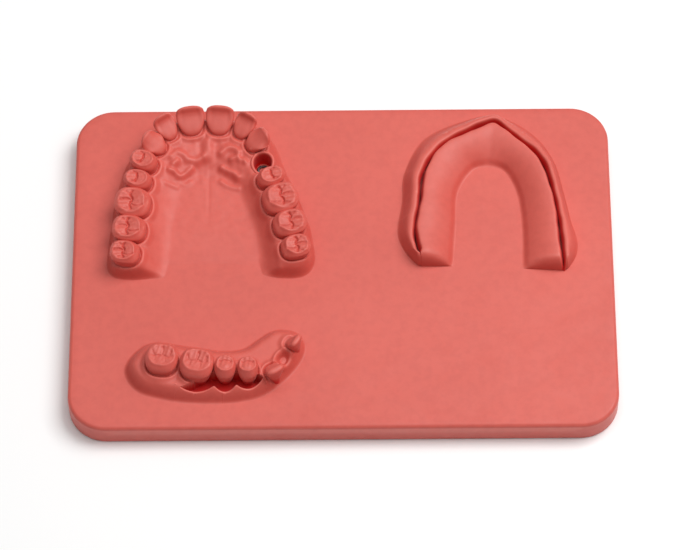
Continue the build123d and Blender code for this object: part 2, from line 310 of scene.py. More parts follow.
def multiplied(tree, factor, a, b):
    """Colour a multiplied by colour b, as far as the factor says."""
    node = tree.nodes.new("ShaderNodeMix")
    node.data_type = "RGBA"
    node.blend_type = "MULTIPLY"
    node.inputs[0].default_value = factor
    tree.links.new(a, node.inputs[6])
    tree.links.new(b, node.inputs[7])
    return node.outputs[2]


def bump(tree, heights):
    """One normal from several height textures, each with its depth in millimetres."""
    normal = None
    for height, depth in heights:
        node = tree.nodes.new("ShaderNodeBump")
        node.inputs["Strength"].default_value = 1.0
        node.inputs["Distance"].default_value = depth * MM
        tree.links.new(height, node.inputs["Height"])
        if normal is not None:
            tree.links.new(normal, node.inputs["Normal"])
        normal = node.outputs["Normal"]
    return normal


SKIN = (0.69, 0.126, 0.097)  # linear colour of the silicone in flat places
HOLLOW_SHADE = (0.58, 0.075, 0.055)  # painted shade in hollows, a darker, redder colour
EDGE = (0.76, 0.172, 0.136)  # painted light along thin edges, paler as if light came through
# Painted shade: tints from open skin (0) to the bottom of a gap (1)
GAP_SHADE_TINTS = [(0.0, (1.0, 1.0, 1.0)), (0.4, (0.97, 0.70, 0.66)), (1.0, (0.95, 0.045, 0.035))]
DULL = (0.93, 0.90, 0.90)  # tint of the darker mottles and specks
CLEAN = (1.0, 1.0, 1.0)


def silicone():
    """Matte salmon-pink silicone: mottling, painted shade in hollows, gaps, steep walls and at tooth
    necks, painted light on thin edges, a fine dry grain.
    """
    material = bpy.data.materials.new("silicone")
    tree, shader = node_chain(material)
    geometry = tree.nodes.new("ShaderNodeNewGeometry")
    # Painted shade in hollows and painted light on thin edges, read from the surface's pointiness
    pointiness_shade_and_glow = ramp(tree, geometry.outputs["Pointiness"], [(0.42, HOLLOW_SHADE), (0.5, SKIN), (0.6, EDGE)])
    colour = multiplied(tree, 1.0, pointiness_shade_and_glow, patchy(tree, 22.0, 4.0, DULL, CLEAN))
    colour = multiplied(tree, 0.7, colour, patchy(tree, 420.0, 3.0, DULL, CLEAN, (0.32, 0.6)))
    # Painted shade in gaps, on steep walls and at the teeth's necks, darker and redder
    gap = tree.nodes.new("ShaderNodeAttribute")
    gap.attribute_name = "painted_gap_shade"
    colour = multiplied(tree, 1.0, colour, ramp(tree, gap.outputs["Fac"], GAP_SHADE_TINTS))
    tree.links.new(colour, shader.inputs["Base Color"])
    gloss = patchy(tree, 160.0, 4.0, (0.44,) * 3, (0.56,) * 3)
    tree.links.new(gloss, shader.inputs["Roughness"])
    for setting, value in {
        "Subsurface Weight": 0.1,
        "Subsurface Radius": (1.0, 0.28, 0.2),
        "Subsurface Scale": 0.8 * MM,
        "Specular IOR Level": 0.42,
        "Sheen Weight": 0.06,
        "Sheen Roughness": 0.5,
    }.items():
        shader.inputs[setting].default_value = value
    grain = [(noise(tree, 150.0, 3.0), 0.06), (noise(tree, 1400.0, 2.0), 0.012)]
    tree.links.new(bump(tree, grain), shader.inputs["Normal"])
    return material


def titanium():
    """Dark machined titanium."""
    material = bpy.data.materials.new("implant_metal")
    tree, shader = node_chain(material)
    tint = patchy(tree, 900.0, 2.0, (0.10, 0.095, 0.095), (0.19, 0.18, 0.18))
    tree.links.new(tint, shader.inputs["Base Color"])
    gloss = patchy(tree, 1500.0, 2.0, (0.22,) * 3, (0.34,) * 3)
    tree.links.new(gloss, shader.inputs["Roughness"])
    shader.inputs["Metallic"].default_value = 1.0
    tree.links.new(bump(tree, [(noise(tree, 2500.0, 2.0), 0.01)]), shader.inputs["Normal"])
    return material


def paper():
    """The pale floor."""
    material = bpy.data.materials.new("pale_floor")
    tree, shader = node_chain(material)
    tone = patchy(tree, 3.0, 2.0, (0.95,) * 3, (0.97,) * 3)
    tree.links.new(tone, shader.inputs["Base Color"])
    shader.inputs["Roughness"].default_value = 0.8
    return material


SILICONE = silicone()
TITANIUM = titanium()


# ---- slab

def rounded_rectangle(half_x, half_y, radius):
    """Points round a rectangle with round corners, anticlockwise."""
    points = []
    for turn, (sx, sy) in enumerate(((1, 1), (-1, 1), (-1, -1), (1, -1))):
        for a in np.linspace(0, math.pi / 2, 17):
            angle = turn * math.pi / 2 + a
            x = sx * (half_x - radius) + radius * math.cos(angle)
            y = sy * (half_y - radius) + radius * math.sin(angle)
            points.append((x, y))
    ring = np.array(points + points[:1])
    run = run_length(ring)
    fine = [np.linspace(ring[i], ring[i + 1], max(2, int((run[i + 1] - run[i]) / 2.5) + 1))[:-1]
            for i in range(len(points))]
    return np.vstack(fine)


def make_slab():
    """The slab: round corners, a soft top edge, and a top that is not quite flat."""
    half_x, half_y = SLAB_HIGH[:2]
    profile = [(0.5 * BOTTOM_EDGE, 0.0)]
    for turn in np.linspace(0.15, 1, 5) * math.pi / 2:
        profile.append((BOTTOM_EDGE * (1 - math.sin(turn)), BOTTOM_EDGE * (1 - math.cos(turn))))
    for level in np.linspace(0.25, 0.85, 4):
        profile.append((0.0, level * SLAB_TOP))
    for turn in np.linspace(0, 1, 9) * math.pi / 2:
        profile.append((TOP_EDGE * (1 - math.cos(turn)), SLAB_TOP - TOP_EDGE * (1 - math.sin(turn))))
    rings = []
    for inset, level in profile:
        ring = rounded_rectangle(half_x - inset, half_y - inset, CORNER_RADIUS - inset)
        rings.append(np.c_[ring, np.full(len(ring), level)])
    width = len(rings[0])
    edge = rings[-1]
    for share in np.linspace(1, 0, 34)[1:-1]:
        inner = edge * [share, share, 1]
        inner[:, 2] += SLAB_WAVES * waves(inner[:, 0], inner[:, 1], 46) * smooth(1.0, 0.9, share)
        rings.append(inner)
    points = np.vstack(rings + [[[0, 0, SLAB_TOP]]])
    faces = tube_faces(len(rings), width)
    centre = len(points) - 1
    last = centre - width
    faces += [(last + i, last + (i + 1) % width, centre) for i in range(width)]
    faces.append(tuple(range(width - 1, -1, -1)))
    return build("slab", points, faces, "base_slab")


# ---- teeth

# Crowns: width along the arch, depth across it, and height above the gum
CROWNS = {
    "central_incisor": (9.0, 6.6, 5.7),
    "lateral_incisor": (6.9, 6.0, 5.6),
    "canine": (7.4, 7.0, 5.3),
    "first_premolar": (7.3, 8.9, 4.6),
    "second_premolar": (7.0, 8.9, 4.4),
    "first_molar": (10.8, 11.2, 4.3),
    "second_molar": (9.5, 10.5, 4.0),
    "third_molar": (8.4, 9.2, 3.6),
}
LOWER_CROWNS = {
    "central_incisor": (5.2, 4.8, 5.0),
    "canine": (6.0, 5.4, 4.6),
    "first_premolar": (6.7, 7.0, 5.2),
    "second_premolar": (6.9, 7.4, 5.2),
    "first_molar": (10.8, 9.8, 5.2),
    "second_molar": (10.4, 9.6, 4.9),
}
LOWER_TURNS = {  # degrees from the slab's front to the way that a lower tooth's cheek side faces
    "second_molar": -8,
    "first_molar": -10,
    "second_premolar": -4,
    "first_premolar": 2,
    "canine": 30,
    "central_incisor": 58,
}
UPPER_GUM = corners("maxillary_gum")[1][2]
LOWER_GUM = corners("mandibular_gum")[1][2]
UPPER_ROOT = 1.7  # how far an upper tooth goes down into the gum
LOWER_ROOT = 3.7
UPPER_NECK_SHADE = (0.3, -2.2)  # heights over the gum between which a tooth turns from skin to painted shade at its neck
LOWER_NECK_SHADE = (1.2, -2.0)
AROUND = 96  # points in each ring of a tooth
TABLE_DROP = 0.55  # from the cusp tips to the table between them
TABLE_EDGE = 0.68  # where the table rounds over into the walls, as a share of the half size
TABLE_RIM = 0.26  # height of the soft rim round the table
SHOULDER_FALL = 0.95  # from the table to the walls, for a crown of the usual height
SHOULDER_STRETCH = 5.0  # how much more for each unit of slope
USUAL_HEIGHT = 4.3
FISSURE_WIDTH = 0.3
FOLD_DEPTH = 0.07  # of the fine folds on one side of the table
TABLE_WAVES = 0.05

# Cusps: towards mesial and towards the cheek as shares of the half sizes, then height and width in mm
UPPER_MOLAR_CUSPS = [
    (0.46, 0.52, 0.45, 1.9),
    (-0.46, 0.50, 0.4, 1.8),
    (0.34, -0.46, 0.85, 2.1),
    (-0.52, -0.44, 0.6, 1.8),
]
LOWER_MOLAR_CUSPS = [
    (0.55, 0.46, 0.4, 2.1),
    (-0.05, 0.50, 0.38, 2.1),
    (-0.62, 0.40, 0.35, 2.0),
    (0.48, -0.56, 0.45, 2.0),
    (-0.48, -0.56, 0.4, 2.0),
]
PREMOLAR_CUSPS = [
    (0.0, 0.50, 0.5, 2.4),
    (0.05, -0.46, 0.5, 2.4),
]
LOWER_PREMOLAR_CUSPS = [
    (0.0, 0.30, 0.9, 2.2),
    (0.06, -0.60, 0.35, 1.6),
]
# Fissures: points on the table in the same shares, then the depth in mm
UPPER_MOLAR_FISSURES = [
    ([(0.66, 0.06), (0.40, 0.16), (0.06, 0.0), (-0.26, 0.10), (-0.58, 0.0)], 0.7),
    ([(0.04, 0.04), (0.10, 0.36), (0.02, 0.72)], 0.42),
    ([(0.42, 0.16), (0.56, 0.40)], 0.3),
    ([(-0.46, 0.06), (-0.60, 0.34)], 0.3),
    ([(-0.24, 0.08), (-0.34, -0.22), (-0.22, -0.62)], 0.4),
]
LOWER_MOLAR_FISSURES = [
    ([(0.60, -0.08), (0.34, 0.02), (0.02, -0.10), (-0.34, 0.0), (-0.58, -0.08)], 0.28),
    ([(0.24, 0.0), (0.28, 0.36)], 0.18),
    ([(-0.34, 0.0), (-0.38, 0.34)], 0.16),
    ([(0.0, -0.12), (0.05, -0.46), (0.0, -0.70)], 0.34),
    ([(0.46, -0.02), (0.54, -0.36)], 0.25),
    ([(-0.48, -0.02), (-0.58, -0.32)], 0.25),
]
PREMOLAR_FISSURES = [
    ([(0.42, 0.10), (0.0, 0.02), (-0.42, 0.10)], 0.7),
    ([(0.40, 0.10), (0.54, 0.34)], 0.3),
    ([(-0.40, 0.10), (-0.54, 0.34)], 0.3),
]
LOWER_PREMOLAR_FISSURES = [
    ([(0.44, -0.30), (0.0, -0.38), (-0.44, -0.30)], 0.3),
]
# Front teeth: share of the height, tongue side, cheek side (both in half depths), share of the width
INCISOR_FORM = [
    (0.0, -0.93, 1.0, 0.62),
    (0.15, -0.92, 1.12, 0.76),
    (0.30, -0.74, 1.24, 0.88),
    (0.45, -0.36, 1.34, 0.96),
    (0.60, 0.06, 1.42, 1.0),
    (0.75, 0.46, 1.48, 1.02),
    (0.88, 0.80, 1.50, 1.0),
    (1.0, 1.06, 1.50, 0.95),
]
CANINE_FORM = [
    (0.0, -0.95, 1.0, 0.66),
    (0.25, -0.90, 1.15, 0.86),
    (0.5, -0.60, 1.26, 1.0),
    (0.7, -0.14, 1.30, 1.0),
    (0.86, 0.34, 1.28, 0.94),
    (1.0, 0.74, 1.20, 0.8),
]
LOWER_FRONT_FORM = [
    (0.0, -0.9, 0.95, 0.66),
    (0.3, -0.8, 1.02, 0.82),
    (0.6, -0.35, 1.05, 0.96),
    (0.85, 0.06, 1.04, 1.0),
    (1.0, 0.24, 0.98, 0.94),
]
# Back teeth: cusps, fissures, slope of the shoulder, lean of the crown, taper to the neck, squareness
BACK_SHAPES = {
    "upper_premolar": (PREMOLAR_CUSPS, PREMOLAR_FISSURES, -0.15, 0.4, 0.16, 2.3),
    "upper_molar": (UPPER_MOLAR_CUSPS, UPPER_MOLAR_FISSURES, -0.18, 0.6, 0.16, 2.7),
    "lower_premolar": (LOWER_PREMOLAR_CUSPS, LOWER_PREMOLAR_FISSURES, 0.2, -0.4, 0.42, 2.3),
    "lower_molar": (LOWER_MOLAR_CUSPS, LOWER_MOLAR_FISSURES, 0.14, -0.6, 0.34, 2.7),
}
# Front teeth: form, depth of the hollow, drop of the edge's corners, how late they drop, squareness
FRONT_SHAPES = {
    "central_incisor": (INCISOR_FORM, 1.2, 1.2, 3.6, 2.4),
    "lateral_incisor": (INCISOR_FORM, 1.2, 1.6, 3, 2.4),
    "canine": (CANINE_FORM, 0.9, 2.0, 2.2, 2.1),
}
LOWER_FRONT_SHAPE = (LOWER_FRONT_FORM, 0.3, 0.6, 4, 2.4)
EDGE_CAP = [(0.15, 0.36), (0.4, 0.33), (0.65, 0.25), (0.85, 0.13)]  # share of the section, and its rise


class Seat:
    """Where a tooth stands: its middle, the way along the arch to mesial, and the way to the cheek."""

    def __init__(self, place, tangent, mesial):
        self.place = np.array(place[:2], float)
        self.across = np.array([-tangent[1], tangent[0]])
        self.along = np.array(tangent) * mesial

    def local(self, x, y):
        """Places on the slab as distances towards mesial and towards the cheek."""
        dx, dy = x - self.place[0], y - self.place[1]
        return dx * self.along[0] + dy * self.along[1], dx * self.across[0] + dy * self.across[1]

    def world(self, m, c):
        """Distances towards mesial and towards the cheek as places on the slab."""
        xy = self.place + np.outer(m, self.along) + np.outer(c, self.across)
        return xy[:, 0], xy[:, 1]


def ring(half_m, half_c, power):
    """A superellipse round the origin."""
    turn = np.linspace(0, 2 * math.pi, AROUND, endpoint=False)
    c, s = np.cos(turn), np.sin(turn)
    return half_m * np.sign(c) * abs(c) ** (2 / power), half_c * np.sign(s) * abs(s) ** (2 / power)


def closed_tooth(node, seat, rings, gum):
    """A tooth from rings of (mesial, cheek, height) points, from its top down to its root."""
    points = []
    for m, c, z in rings:
        x, y = seat.world(m, c)
        points.append(np.c_[x, y, gum + z])
    top = points[0].mean(0)
    everything = np.vstack(points + [top[None], points[-1].mean(0)[None]])
    faces = tube_faces(len(rings), AROUND)
    crest, base = len(everything) - 2, len(everything) - 1
    last = (len(rings) - 1) * AROUND
    faces += [(crest, (i + 1) % AROUND, i) for i in range(AROUND)]
    faces += [(base, last + i, last + (i + 1) % AROUND) for i in range(AROUND)]
    # Painted shade: each tooth turns darker and redder towards its neck and root
    skin, gap = UPPER_NECK_SHADE if node.startswith("upper") else LOWER_NECK_SHADE
    depths = smooth(skin, gap, everything[:, 2] - gum)
    return build("crown_" + node, everything, faces, node, depths=depths)


def back_tooth(node, seat, size, gum, root, shape):
    """A molar or premolar: a table of cusps and fissures, a rounded shoulder, and a tapering wall.

    The slope draws out the shoulder on the cheek side, or on the tongue side if it is negative.
    """
    cusps, fissures, slope, lean, neck, power = shape
    half_m, half_c, height = 0.485 * size[0], 0.5 * size[1], size[2]
    table = height - TABLE_DROP
    cusps = [(a * half_m, b * half_c, h, w) for a, b, h, w in cusps]
    lines = [(through(np.array(path) * [half_m, half_c], 14), depth) for path, depth in fissures]
    side = math.copysign(1, slope)
    rings = []
    for share in np.r_[np.linspace(0.02, 0.66, 21), 1 - 0.32 * np.linspace(1, 0, 16) ** 1.7]:
        m, c = ring(half_m * share, half_c * share, power)
        full = 1 + abs(slope) * smooth(0.0, 0.9, side * c / (half_c * share))
        reach = share * full
        over = np.clip((reach - TABLE_EDGE) / (full - TABLE_EDGE), 0, 1)
        fall = (SHOULDER_FALL + SHOULDER_STRETCH * (full - 1)) * height / USUAL_HEIGHT
        z = table - fall * (1 - np.sqrt(1 - 0.99 * over ** 2.2))
        lift = sum((h * bell(np.hypot(m - cm, c - cc), w)) ** 2 for cm, cc, h, w in cusps) ** 0.5
        cut = np.zeros(AROUND)
        for line, depth in lines:
            cut = np.maximum(cut, depth * bell(beside(m, c, line)[0], FISSURE_WIDTH))
        rim = TABLE_RIM * bell(reach - 0.78, 0.12)
        wrinkled = smooth(-0.5, 0.1, -side * c / half_c)
        folds = FOLD_DEPTH * np.cos(4.2 * m + 0.8 * c + seat.place[1]) * wrinkled
        folds += TABLE_WAVES * waves(m + seat.place[0], c, 2.3, seat.place[1])
        z = z + lift * smooth(1.12, 0.76, reach) + (rim + folds - cut) * smooth(0.97, 0.8, reach)
        rings.append((m, c, z))
    m, c, edge = rings[-1]
    for t in np.linspace(0, 1, 18)[1:]:
        level = edge + (-root - edge) * t
        narrow = 1 - neck * np.clip((0.8 * height - level) / (1.4 * height), 0, 1) ** 1.5
        rings.append((m * narrow, c * narrow, level))
    for k, (m, c, z) in enumerate(rings):
        rings[k] = (m, c + lean * smooth(-0.1 * height, 0.75 * height, z), z)
    return closed_tooth(node, seat, rings, gum)


def front_tooth(node, seat, size, gum, root, shape):
    """An incisor or canine: a hollow tongue-side face between two side ridges, up to a rounded edge."""
    form, hollow, drop, sharpness, power = shape
    half_m, half_c, height = 0.5 * size[0], 0.5 * size[1], size[2]
    form = np.array(form)
    levels = list(np.linspace(1.0, 0.0, 26)) + list(np.linspace(-0.06, -root / height, 6))
    steps = [(1.0, cap, rise) for cap, rise in EDGE_CAP]
    steps += [(level, 1.0, 0.0) for level in levels]
    rings = []
    for level, cap, rise in steps:
        up = max(level, 0.0)
        tongue, cheek, wide = rail(form[:, 1:], np.interp([up], form[:, 0], np.arange(len(form))))[0]
        wide *= 1 - 0.25 * smooth(0.0, -0.5, level)
        middle_c, deep = 0.5 * (tongue + cheek) * half_c, 0.5 * (cheek - tongue) * half_c
        m, c = ring(wide * half_m * (0.4 + 0.6 * cap), deep * cap, power)
        inward = smooth(0.3, -0.8, c / max(deep, 1e-6))
        dish = hollow * smooth(0.98, 0.5, abs(m) / half_m) * bell(up - 0.7, 0.24)
        stripes = 0.06 * np.cos(m * 7.5 / half_m) * bell(up - 0.36, 0.2)
        bow = -0.09 * (m / half_m) ** 2 * half_m * up
        z = level * height + rise - drop * abs(m / half_m) ** sharpness * smooth(0.45, 1.0, up)
        rings.append((m, c + middle_c + bow + (dish + stripes) * inward, z))
    return closed_tooth(node, seat, rings, gum)


def tooth(node, seat):
    """The sculpted tooth that stands for the CAD node of the same name."""
    jaw, _, kind = node.split("_", 2)
    upper = jaw == "upper"
    size = CROWNS[kind] if upper else LOWER_CROWNS[kind]
    gum = UPPER_GUM if upper else LOWER_GUM
    root = UPPER_ROOT if upper else LOWER_ROOT
    if "molar" in kind:
        shape = BACK_SHAPES[jaw + ("_premolar" if "premolar" in kind else "_molar")]
        return back_tooth(node, seat, size, gum, root, shape)
    shape = FRONT_SHAPES[kind] if upper else LOWER_FRONT_SHAPE
    return front_tooth(node, seat, size, gum, root, shape)


def middle(node):
    """The middle of a CAD node, seen from above."""
    low, high = corners(node)
    return (0.5 * (low + high))[:2]


UPPER_ROW = ["upper_right_" + k for k in reversed(CROWNS)] + ["upper_left_" + k for k in CROWNS]
EMPTY = "upper_left_first_premolar"
SOCKET = middle("implant_fixture")
# How far inwards the neck of a front tooth stands from the middle of its CAD node
NECK_LEAN = {"central_incisor": 1.5, "lateral_incisor": 1.4, "canine": 1.1}
LOWER_NECK_LEAN = 0.5


def nearest(line, place):
    """The point of a line that is nearest to a place, and the line's direction there."""
    _, share = beside(*np.array(place)[:, None], line)
    return along(line, share[0])


def upper_arch():
    """A smooth line through the necks of the upper teeth and the empty socket."""
    rough = [SOCKET if n == EMPTY else middle(n) for n in UPPER_ROW]
    line = through(rough, 300)
    necks = []
    for n, place in zip(UPPER_ROW, rough):
        _, run = nearest(line, place)
        necks.append(place - NECK_LEAN.get(n.split("_", 2)[2], 0.0) * np.array([-run[1], run[0]]))
    first = necks[0] + (necks[0] - necks[1]) * 0.9
    last = necks[-1] + (necks[-1] - necks[-2]) * 0.9
    return through([first, *necks, last], 360)


def upper_seats(line):
    """The seat of each upper tooth on its arch."""
    seats = {}
    for n in UPPER_ROW:
        if n != EMPTY:
            seats[n] = Seat(*nearest(line, middle(n)), 1 if "_right_" in n else -1)
    return seats


def lower_seats():
    """The seat of each lower tooth; their cheek sides face the front of the slab."""
    seats = {}
    for kind, turn in LOWER_TURNS.items():
        angle = math.radians(turn)
        cheek = np.array([math.sin(angle), -math.cos(angle)])
        node = "lower_right_" + kind
        lean = 0.0 if "molar" in kind else LOWER_NECK_LEAN
        seats[node] = Seat(middle(node) - lean * cheek, (cheek[1], -cheek[0]), -1)
    return seats


ARCH = upper_arch()
UPPER_SEATS = upper_seats(ARCH)
LOWER_SEATS = lower_seats()


# ---- gums round the teeth

# The foot of the palate's walls, and the line where the upper gum ends at the back
VAULT = [(-55.0, -9), (-54.4, 2), (-53.0, 14), (-50.6, 26.0), (-46.5, 31.2), (-41.5, 32), (-37, 30.5),
         (-32.6, 24.5), (-28.5, 14), (-26.4, 4), (-25.8, -9)]
ARCH_END = [(-77.5, 7), (-75.4, 1.5), (-71.8, -2.9), (-66, -4.0), (-58, -3.8), (-42, -5.0), (-26, -3.4),
            (-19, -3.8), (-13.2, -3.5), (-9.8, -0.6), (-8.2, 5)]
VAULT_FLOOR = 0.4  # the palate's floor over the slab at y = 0, before it runs out towards the rear
VAULT_RISE = 0.03  # rise of the floor towards the front teeth, for each millimetre
RUGAE = [  # the folds of the palate: points, height and width
    ([(-54.2, 37.2), (-52.4, 38.6), (-50.4, 37.9), (-48.8, 36.4), (-46.5, 36.1), (-44.2, 37.2)],
     0.95, 1.25),
    ([(-53.5, 34.6), (-52.3, 35.8)], 0.9, 1.0),
    ([(-54.6, 32.6), (-53.2, 32.2), (-51.5, 31.0), (-49.9, 31.8), (-47.9, 33.8)], 0.95, 0.95),
    ([(-56.0, 28.4), (-54.2, 28.0), (-52.4, 27.5)], 0.4, 0.8),
    ([(-51.5, 28.9), (-49.6, 28.6), (-48.0, 29.6)], 0.35, 0.8),
    ([(-38.4, 38.6), (-36.9, 40.0), (-35.3, 40.4), (-33.9, 39.7), (-32.8, 38.6)], 0.95, 1.15),
    ([(-35.2, 36.3), (-33.3, 36.9)], 0.9, 0.95),
    ([(-32.4, 35.7), (-31.3, 35.5), (-30.6, 34.8)], 0.9, 0.95),
    ([(-38.2, 34.0), (-36.4, 32.8), (-34.6, 31.8), (-33.1, 30.3)], 1.0, 1.0),
    ([(-38.4, 29.5), (-36.5, 28.2), (-34.4, 27.3), (-33.0, 26.9)], 0.55, 0.9),
]
COLLAR = 0.42  # how far the gum is drawn up round a tooth
ROLL = 0.2  # how far the rolled rim stands over that
GROOVE = 0.5  # depth of the groove at a neck
INCISOR_GROOVE = 0.2


def tooth_rims(x, y, z, seats, sizes):
    """Gum drawn up in a rolled rim round each tooth, with a groove where gum and tooth meet."""
    up = np.zeros(x.shape)
    down = np.zeros(x.shape)
    for n, seat in seats.items():
        kind = n.split("_", 2)[2]
        width, depth, _ = sizes[kind]
        m, c = seat.local(x, y)
        front = "incisor" in kind
        a = (0.39 if front else 0.44) * width
        b = (0.5 if front else 0.46) * depth
        out = ((abs(m / a) ** 2.4 + abs(c / b) ** 2.4) ** (1 / 2.4) - 1) * min(a, b)
        up = np.maximum(up, COLLAR * smooth(2.2, 0.9, out) + ROLL * bell(out - 0.85, 0.36))
        down = np.maximum(down, (INCISOR_GROOVE if front else GROOVE) * bell(out - 0.1, 0.28))
    return z + up - down


def upper_gum_body(x, y):
    """The upper gum over the slab's top, without its details."""
    across, share = beside(x, y, ARCH)
    rear = abs(2 * share - 1) ** 1.5
    tuck = 3.2 * abs(2 * share - 1) ** 10
    crest = UPPER_GUM - SLAB_TOP - 0.1
    outer = 1 - smooth(2.6 + 1.9 * rear - tuck, 6.6 + 1.1 * rear - tuck, across) ** 0.85
    inside = -across - 4.0 - 1.7 * rear
    to_vault, _ = beside(x, y, through(VAULT, 160))
    fall = np.clip(inside / (inside + np.clip(to_vault, 0, None) + 1e-6), 0, 1) * (inside > 0)
    front = smooth(25, 37, y)
    side_fall = 0.55 * (1 - (1 - fall) ** 2.2) + 0.45 * smooth(0, 1, fall)
    front_fall = 0.55 * fall + 0.45 * smooth(0.35, 1.0, fall)
    fall = side_fall * (1 - front) + front_fall * front
    z = crest * (1 - fall) + (VAULT_FLOOR + VAULT_RISE * y) * smooth(-5, 12, y) * fall
    z = np.where(across > 0, crest * outer, z)
    end, _ = beside(x, y, through(ARCH_END, 120))
    return z * smooth(-0.7, 0.6, end) * (1 - 0.2 * smooth(2.6, 0.0, end))


def upper_gum_detail(x, y, z):
    """Rugae, papilla, raphe, the rims round the teeth, and room for the socket."""
    across, _ = beside(x, y, ARCH)
    ruga_zone = smooth(3.0, 5.5, -across)
    for line, high, wide in RUGAE:
        away, _ = beside(x, y, through(line, 30))
        z = z + high * bell(away, wide) * ruga_zone
    papilla = bell(x + 42.6, 1.5) * smooth(35.5, 38.5, y) * smooth(45.5, 42.5, y)
    moat = (bell(x + 45.2, 1.1) + bell(x + 40.0, 1.1)) * smooth(36, 38.5, y) * smooth(45, 42, y)
    raphe = bell(x + 42.2, 0.6) * smooth(14, 22, y) * smooth(36, 31, y)
    lumps = waves(x, y, 4.6, 0.7) * smooth(26, 31, y) * smooth(3.2, 5.5, -across)
    z = z + 0.8 * papilla - 0.3 * moat - 0.12 * raphe + 0.1 * lumps
    z = tooth_rims(x, y, z, UPPER_SEATS, CROWNS) * smooth(0.02, 0.25, z)
    z = z + 0.05 * waves(x, y, 7.0) * smooth(0.3, 1.0, z)
    away = np.hypot((x - SOCKET[0]) / SOCKET_RADII[0], (y - SOCKET[1]) / SOCKET_RADII[1])
    return z - (z + 0.5) * smooth(1.3, 1.2, away)


SOCKET_RADII = (2.75, 3.4)  # of the bore, from side to side and from front to back
SOCKET_RING = [  # distance outside the bore's wall and height over the gum's top, from the bottom up
    (-0.7, -5.05), (-0.25, -4.6), (-0.1, -3.6), (-0.04, -2.0), (0.0, -0.6), (0.05, 0.0), (0.18, 0.34),
    (0.4, 0.5), (0.64, 0.5), (0.88, 0.34), (1.08, 0.05), (1.25, -0.4), (1.35, -1.4), (1.35, -5.3),
    (-0.7, -5.3),
]


def socket_ring():
    """The rim and the bore of the emptied socket, turned round the implant."""
    sections = []
    for turn in np.linspace(0, 2 * math.pi, 96, endpoint=False):
        wobble = 0.1 * math.sin(2 * turn + 0.6) + 0.06 * math.sin(3 * turn)
        tilt = 0.35 * math.sin(turn)
        for out, level in SOCKET_RING:
            x = SOCKET[0] + (SOCKET_RADII[0] + out + wobble) * math.cos(turn)
            y = SOCKET[1] + (SOCKET_RADII[1] + out + wobble) * math.sin(turn)
            sections.append((x, y, UPPER_GUM + level + tilt * smooth(-2, 0, level)))
    width = len(SOCKET_RING)
    around = len(sections)
    faces = [tuple(k % around for k in face) for face in tube_faces(around // width + 1, width)]
    out, level = np.array(SOCKET_RING).T
    # Painted shade down the wall of the bore
    depths = np.tile(smooth(0.25, -0.9, level) * (out < 0.3), around // width)
    return build("socket_rim", sections, faces, depths=depths)


LOWER_FOOT = [(-67, -36), (-63.6, -43.8), (-54, -47.2), (-44, -48.4), (-32, -48), (-23, -45),
              (-14.6, -36.4), (-12, -29.4), (-14.8, -24.6), (-21.2, -23.9), (-26.4, -27.2), (-31, -30.4),
              (-38, -31), (-48, -29.4), (-60, -28.2)]
LOWER_OUTLINE = through(LOWER_FOOT, 300, closed=True)
BANK_RISE = 4.9  # height of the lower gum's rounded bank
BANK_WIDTH = 5.2  # from its foot to its top
BANK_STEP = 0.2  # spacing of the lower gum's points
LATERAL_SOCKET = Seat((-18.6, -35.6), (math.cos(math.radians(56)), math.sin(math.radians(56))), 1)
LATERAL_SOCKET_DEPTH = 1.5
# The wall behind the flap, and the flap: its tips, its ends, and its height over the table
TRENCH_BACK = [(-51.7, -46.8), (-50, -45.2), (-48, -44.6), (-46, -43.8), (-43.8, -42), (-41, -40.7),
               (-36, -40.4), (-32, -40.6), (-27, -40.9), (-25, -41.8), (-23.9, -43.6), (-23.7, -46)]
PAPILLAE = [-51.2, -39.6, -32.8, -24.2]
FLAP_ENDS = (-53.6, -21.6)
FLAP_MIDDLE = -37.0
FLAP_PEAK = 12.75
SCALLOP = 1.6  # drop of its edge between two tips
CLEAR = 0.02  # a small step that keeps a turning piece off the surface round it


def bank_height(x, y):
    """How high the lower gum stands over the slab's top, before the flap is cut free."""
    inside, _ = beside(x, y, LOWER_OUTLINE)
    rise = BANK_RISE * (1 - (1 - np.clip(inside / BANK_WIDTH, 0, 1)) ** 2.4)
    return np.minimum(rise, LOWER_GUM - SLAB_TOP + 0.35)


def trenched(x, y, z):
    """The lower gum cut away behind the flap, back to the roots of the teeth, down to a thin floor."""
    back_x, back_y = np.array(TRENCH_BACK).T
    wall = np.interp(x, back_x, back_y)
    trench = smooth(back_x[0] - 0.1, back_x[0] + 0.1, x) * smooth(back_x[-1] + 0.1, back_x[-1] - 0.1, x)
    # The floor stays just over the slab's top so that it carries the painted shade of the trench
    floor = np.where(z > 1.2, 0.08, -FOOT_DEPTH)
    return z - (z - floor) * trench * smooth(wall + 0.15, wall - 0.15, y)


def lower_gum_detail(x, y, z):
    """The rims round the lower teeth and the shallow socket of the missing lateral incisor."""
    m, c = LATERAL_SOCKET.local(x, y)
    out = np.hypot(m / 2.4, c / 1.7)
    z = z + 0.55 * bell(out - 1.45, 0.3) - LATERAL_SOCKET_DEPTH * smooth(1.15, 0.5, out)
    rimmed = tooth_rims(x, y, z, LOWER_SEATS, LOWER_CROWNS)
    z = z + (rimmed - z) * smooth(2.2, 3.4, z)
    return trenched(x, y, z)


def flap_edge():
    """Places along the flap and how high its free edge stands over the slab's top there."""
    x = np.arange(FLAP_ENDS[0] - 2, FLAP_ENDS[1] + 2, 0.1)
    bay = np.clip(np.searchsorted(PAPILLAE, x), 1, len(PAPILLAE) - 1)
    start, end = np.take(PAPILLAE, bay - 1), np.take(PAPILLAE, bay)
    from_middle = np.clip(abs(2 * (x - start) / (end - start) - 1), 0, 1)
    spread = np.exp(-0.5 * (np.arange(-10, 11) / 3.2) ** 2)
    dip = np.convolve(SCALLOP * (1 - from_middle ** 1.8), spread / spread.sum(), "same")
    return x, FLAP_PEAK - SLAB_TOP - dip


